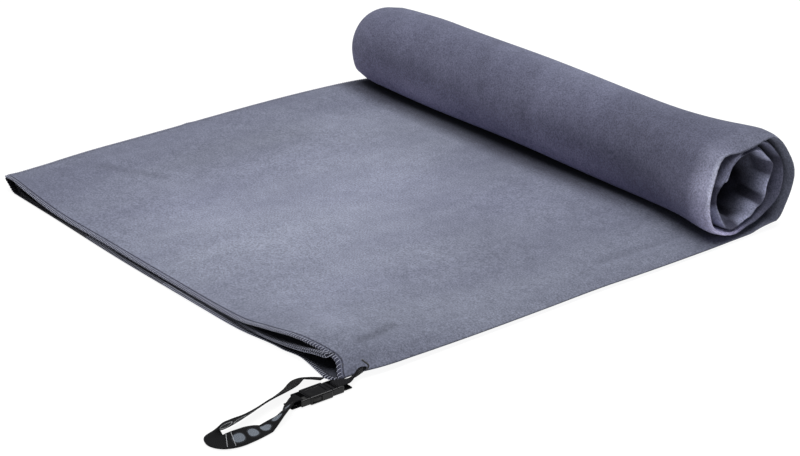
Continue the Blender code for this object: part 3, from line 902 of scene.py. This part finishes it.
STRAP_OUT = [
    (0.1809, -0.1846, 20, 0.0008, WEBBING_WIDTH),
    (0.1757, -0.1892, 22, 0.0004, WEBBING_WIDTH),
    (0.1732, -0.1950, 26),
    (0.1784, -0.2044, 28),
    (0.1822, -0.2143, 34),
    (0.1857, -0.2256, 42),
    (0.1896, -0.2371, 44),
    (0.1928, -0.2480, 48),
    (0.1940, -0.2566, 53),
    (0.1940, -0.2632, 47),
    (0.1960, -0.2678, 30),
]
STRAP_BACK = [
    (0.2008, -0.2692, 16),
    (0.2056, -0.2668, 22),
    (0.2084, -0.2606, 33),
    (0.2080, -0.2530, 29),
    (0.2062, -0.2446, 13),
    (0.2044, -0.2362, -10, 0.0006, 0.0098),
    (0.2020, -0.2278, -33, 0.0010, 0.0090),
    (0.1984, -0.2204, -42, 0.0014, 0.0082),
]
STRAP_RISE = [(0.1929, -0.2148, 0.0028), (0.1922, -0.2120, 0.0038)]
TAB_OUT = [
    (0.1886, -0.1598, 0.0050, 90, 0.0016),
    (0.1888, -0.1634, 0.0048, 84, 0.0040),
    (0.1898, -0.1678, 0.0045, 66, 0.0064),
    (0.1914, -0.1724, 0.0042, 38, 0.0078),
    (0.1922, -0.1765, 0.0040, 10, 0.0080),
    (0.1922, -0.1798, 0.00405, 0, 0.0080),
]
# An end of the tab's sewing thread that stands off the cloth.
LOOSE_THREAD = [
    (0.1906, -0.1610, 0.0050),
    (0.1904, -0.1594, 0.0066),
    (0.1897, -0.1602, 0.0082),
    (0.1891, -0.1617, 0.0096),
    (0.1888, -0.1628, 0.0110),
]
WEBBING_THICK = 0.0009
NARROW = 0.0080
EYE_RADIUS = 0.0017
EYE_STEPS = 12
BUCKLE_X = 0.1922
BAR_Z = 0.0024
PLUG_BAR_Y = -0.1829
SOCKET_BAR_Y = -0.2096
ROUTE_SAMPLES = 10
BAND_SEGMENTS = 8
TACK_RADIUS = 0.00016
LOOSE_RADIUS = 0.00055
# Where rows of thread lie, counted in samples along their webbing.
TAB_TACK_ROWS = range(9, 18, 2)
SEAM_ROWS = (22, 27)


def lean_direction(heading, lean):
    """Which way a band's width points: to the left of its heading, raised by the lean."""
    left = np.array([-heading[1], heading[0], 0.0])
    left /= np.linalg.norm(left)
    angle = math.radians(lean)
    return left * math.cos(angle) + np.array([0, 0, math.sin(angle)])


def laid_band(route):
    """Points, width directions and widths along a band whose low edge follows a route."""
    rows = catmull_rom([(*row, LOW_EDGE, WEBBING_WIDTH)[:5] for row in route], ROUTE_SAMPLES)
    headings = np.gradient(rows[:, :2], axis=0)
    angles = np.radians(rows[:, 2])
    widths = rows[:, 4]
    z = widths / 2 * np.abs(np.sin(angles)) + WEBBING_THICK / 2 * np.cos(angles) + rows[:, 3]
    points = np.column_stack([rows[:, :2], z])
    directions = [lean_direction(h, lean) for h, lean in zip(headings, rows[:, 2])]
    return points, np.array(directions), widths


def eye_and_tail(bar_y, slot_side, tail):
    """A webbing's path round a buckle's bar, then back under itself by the distances in tail."""
    made = []
    for step in range(EYE_STEPS + 1):
        angle = math.pi * (0.5 - step / EYE_STEPS)
        across = slot_side * EYE_RADIUS * math.cos(angle)
        made.append((BUCKLE_X, bar_y + across, BAR_Z + EYE_RADIUS * math.sin(angle)))
    made += [(BUCKLE_X, bar_y - slot_side * back, BAR_Z - EYE_RADIUS) for back in tail]
    return np.array(made)


def band_frames(points, directions):
    """Points with the directions of a band's width and of its face, both square to its path."""
    tangents = np.gradient(points, axis=0)
    tangents /= np.linalg.norm(tangents, axis=1, keepdims=True)
    wide = directions - tangents * (directions * tangents).sum(axis=1, keepdims=True)
    wide /= np.linalg.norm(wide, axis=1, keepdims=True)
    return points, wide, np.cross(tangents, wide)


def band_object(name, frames, widths, finishes):
    """Webbing with rounded selvedges. finishes are its face's material and its back's."""
    points, wide, normal = frames
    across = np.linspace(-1, 1, BAND_SEGMENTS + 1)
    outline = [(a, 0.5 - 0.18 * a**8) for a in across] + [(a, -0.5 + 0.18 * a**8) for a in reversed(across)]
    co = []
    for point, w, n, width in zip(points, wide, normal, widths):
        for a, up in outline:
            co.append(point + w * width / 2 * a + n * (WEBBING_THICK * up))
    ring = len(outline)
    faces = tube_faces(len(points), ring)
    obj = mesh_object(name, np.array(co) / MM, faces, finishes[0], smooth=False)
    obj.data.materials.append(finishes[-1])
    lengths = np.concatenate([[0], np.cumsum(np.linalg.norm(np.diff(points, axis=0), axis=1))])
    layer = obj.data.uv_layers.new(name="UVMap")
    for polygon in obj.data.polygons:
        sides = [v % ring for v in polygon.vertices]
        back = all(k > BAND_SEGMENTS for k in sides)
        polygon.material_index = 1 if back else 0
        polygon.use_smooth = True
        for loop, vertex in zip(polygon.loop_indices, polygon.vertices):
            layer.data[loop].uv = ((outline[vertex % ring][0] + 1) / 2, lengths[vertex // ring])
    obj.data.set_sharp_from_angle(angle=math.radians(50))
    return obj


def cut(frames, first, last):
    """The stretch of a band from one row to before another."""
    return tuple(values[first:last] for values in frames)


def make_tab(webbing, thread):
    """The anchor tab: it twists from upright at the towel's fold to flat at the plug's bar."""
    rows = catmull_rom(TAB_OUT, ROUTE_SAMPLES)
    directions = [lean_direction((0, -1), lean) for lean in rows[:, 3]]
    loop = eye_and_tail(PLUG_BAR_Y, -1, (0.002, 0.0035, 0.0055, 0.0075))
    points = np.concatenate([rows[:, :3], loop])
    directions = np.concatenate([directions, [(1, 0, 0)] * len(loop)])
    frames = band_frames(points, directions)
    widths = list(rows[:, 4]) + [NARROW] * len(loop)
    tab = band_object("anchor_tab_webbing", frames, widths, [webbing])
    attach(tab, "towel")
    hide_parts("anchor_tab")
    tack = stitch_rows("anchor_tab_stitches", frames, TAB_TACK_ROWS, 0.0036, -1, thread, LOOSE_THREAD)
    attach(tack, "towel")
    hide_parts("anchor_tab_bartack")


def stitch_rows(name, frames, rows, wide, side, thread, loose_end=None):
    """Rows of thread laid across a webbing's face (side 1) or back (-1), like a bar-tack."""
    points, faces = [], []
    centre, across, normal = frames
    for row in rows:
        line = []
        for share in np.linspace(-0.5, 0.5, 9):
            wave = 0.00005 * math.cos(share * 40)
            up = side * (WEBBING_THICK / 2 + TACK_RADIUS * 0.6 + wave)
            line.append((centre[row] + across[row] * wide * share + normal[row] * up) / MM)
        add_thread(points, faces, line, TACK_RADIUS / MM)
    if loose_end:
        add_thread(points, faces, catmull_rom(loose_end, 5) / MM, LOOSE_RADIUS / MM)
    return mesh_object(name, points, faces, thread)


def make_loop(thread):
    """The hang loop: one strap in two pieces that meet at the far turn."""
    black = (0.006, 0.006, 0.007)
    face = patterned_webbing_material(
        "webbing_face", black, oval=(0.150, 0.170, 0.200), rim=(0.024, 0.026, 0.030),
        first_oval=0.0086, stretch=(0.0130, 0.0620),
    )
    back = patterned_webbing_material(
        "webbing_back", black, oval=(0.016, 0.016, 0.018), rim=(0.42, 0.43, 0.44),
        first_oval=0.0005, stretch=(0.0350, 0.0850),
    )
    points, directions, widths = laid_band(STRAP_OUT + STRAP_BACK)
    laid = len(points)
    tail = eye_and_tail(SOCKET_BAR_Y, 1, (0.0015, 0.0030, 0.0048, 0.0065))
    rise = catmull_rom([points[-1], *STRAP_RISE, tail[0]], 4)[1:-1]
    points = np.concatenate([points, rise, tail])
    share = np.linspace(0, 1, len(rise) + 2)[1:-1, None]
    turning = directions[-1] * (1 - share) + np.array([[-1.0, 0, 0]]) * share
    directions = np.concatenate([directions, turning, [(-1, 0, 0)] * len(tail)])
    widths = np.concatenate([widths, [NARROW] * (len(rise) + len(tail))])
    frames = band_frames(points, directions)
    turn = (len(STRAP_OUT) - 1) * ROUTE_SAMPLES + 1

    outgoing = cut(frames, 0, turn)
    returning = cut(frames, turn - 1, len(points))
    out = band_object("hang_loop_outgoing", outgoing, widths[:turn], [back, back])
    ret = band_object("hang_loop_returning", returning, widths[turn - 1 :], [face, back])
    pale = thread_material("seam_thread", (0.25, 0.26, 0.28), (0.45, 0.46, 0.48))
    seam = stitch_rows("hang_loop_seam", returning, SEAM_ROWS, widths[turn] * 0.84, 1, pale)
    tack_rows = range(laid - turn - 8, laid - turn - 3, 2)
    tack = stitch_rows("hang_loop_bartack", returning, tack_rows, NARROW * 0.8, 1, thread)

    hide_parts("loop_strap_outgoing")
    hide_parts("loop_strap_returning")
    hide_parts("loop_seam_stitches")
    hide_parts("strap_end_bartack")
    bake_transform(out)
    for piece in (ret, seam, tack):
        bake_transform(piece)


def finish_buckle():
    """Gives the CAD buckle's own pieces their plastic."""
    finish = plastic_material()
    for name in ("buckle_plug", "buckle_socket", "latch_arm_left", "latch_arm_right"):
        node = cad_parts[name]
        node.data.materials.clear()
        node.data.materials.append(finish)


# ---- stage ----

CAMERA_AT = (1.08583, -0.85461, 0.58024)
CAMERA_AIM = (0.03938, -0.01625, 0.0)
LENS = 103.24
FLOOR_HALF = 6000
FLOOR_Z = -0.6
WORLD_LIGHT = 0.15
TOP_LIGHT_AT = (0.05, 0.05, 2.2)
TOP_LIGHT_SIZE = 2.2
TOP_LIGHT_POWER = 88


def facing(place, aim):
    """How a camera or a light turns, at a place, to face a point."""
    return (Vector(aim) - Vector(place)).to_track_quat("-Z", "Y").to_euler()


def make_camera():
    """A long lens from the towel's near right corner."""
    data = bpy.data.cameras.new("camera")
    data.lens = LENS
    data.sensor_width = 36
    data.clip_end = 20
    camera = bpy.data.objects.new("camera", data)
    camera.location = CAMERA_AT
    camera.rotation_euler = facing(CAMERA_AT, CAMERA_AIM)
    bpy.context.scene.collection.objects.link(camera)
    bpy.context.scene.camera = camera


def make_top_light():
    """One wide soft light over the towel."""
    data = bpy.data.lights.new("top_soft", "AREA")
    data.shape = "RECTANGLE"
    data.size = data.size_y = TOP_LIGHT_SIZE
    data.energy = TOP_LIGHT_POWER
    light = bpy.data.objects.new("top_soft", data)
    light.location = TOP_LIGHT_AT
    light.rotation_euler = facing(TOP_LIGHT_AT, (0, 0, 0))
    bpy.context.scene.collection.objects.link(light)


def make_stage():
    """The white ground, the even light all round and the soft light from above."""
    corners = [(-1, -1), (1, -1), (1, 1), (-1, 1)]
    places = [(x * FLOOR_HALF, y * FLOOR_HALF, FLOOR_Z) for x, y in corners]
    floor = mesh_object("floor", places, [(0, 1, 2, 3)], floor_material(), smooth=False)
    world = bpy.data.worlds.new("studio")
    world.use_nodes = True
    background = world.node_tree.nodes["Background"]
    background.inputs["Color"].default_value = (1, 1, 1, 1)
    background.inputs["Strength"].default_value = WORLD_LIGHT
    bpy.context.scene.world = world
    make_top_light()
    bpy.context.scene.view_settings.view_transform = "Standard"


def main():
    make_camera()
    black_thread = thread_material("bartack_thread", (0.008, 0.008, 0.010), (0.035, 0.035, 0.040))
    make_loop(black_thread)
    make_tab(plain_webbing_material(), black_thread)
    finish_buckle()
    make_hems(make_cloth())
    make_stage()


main()
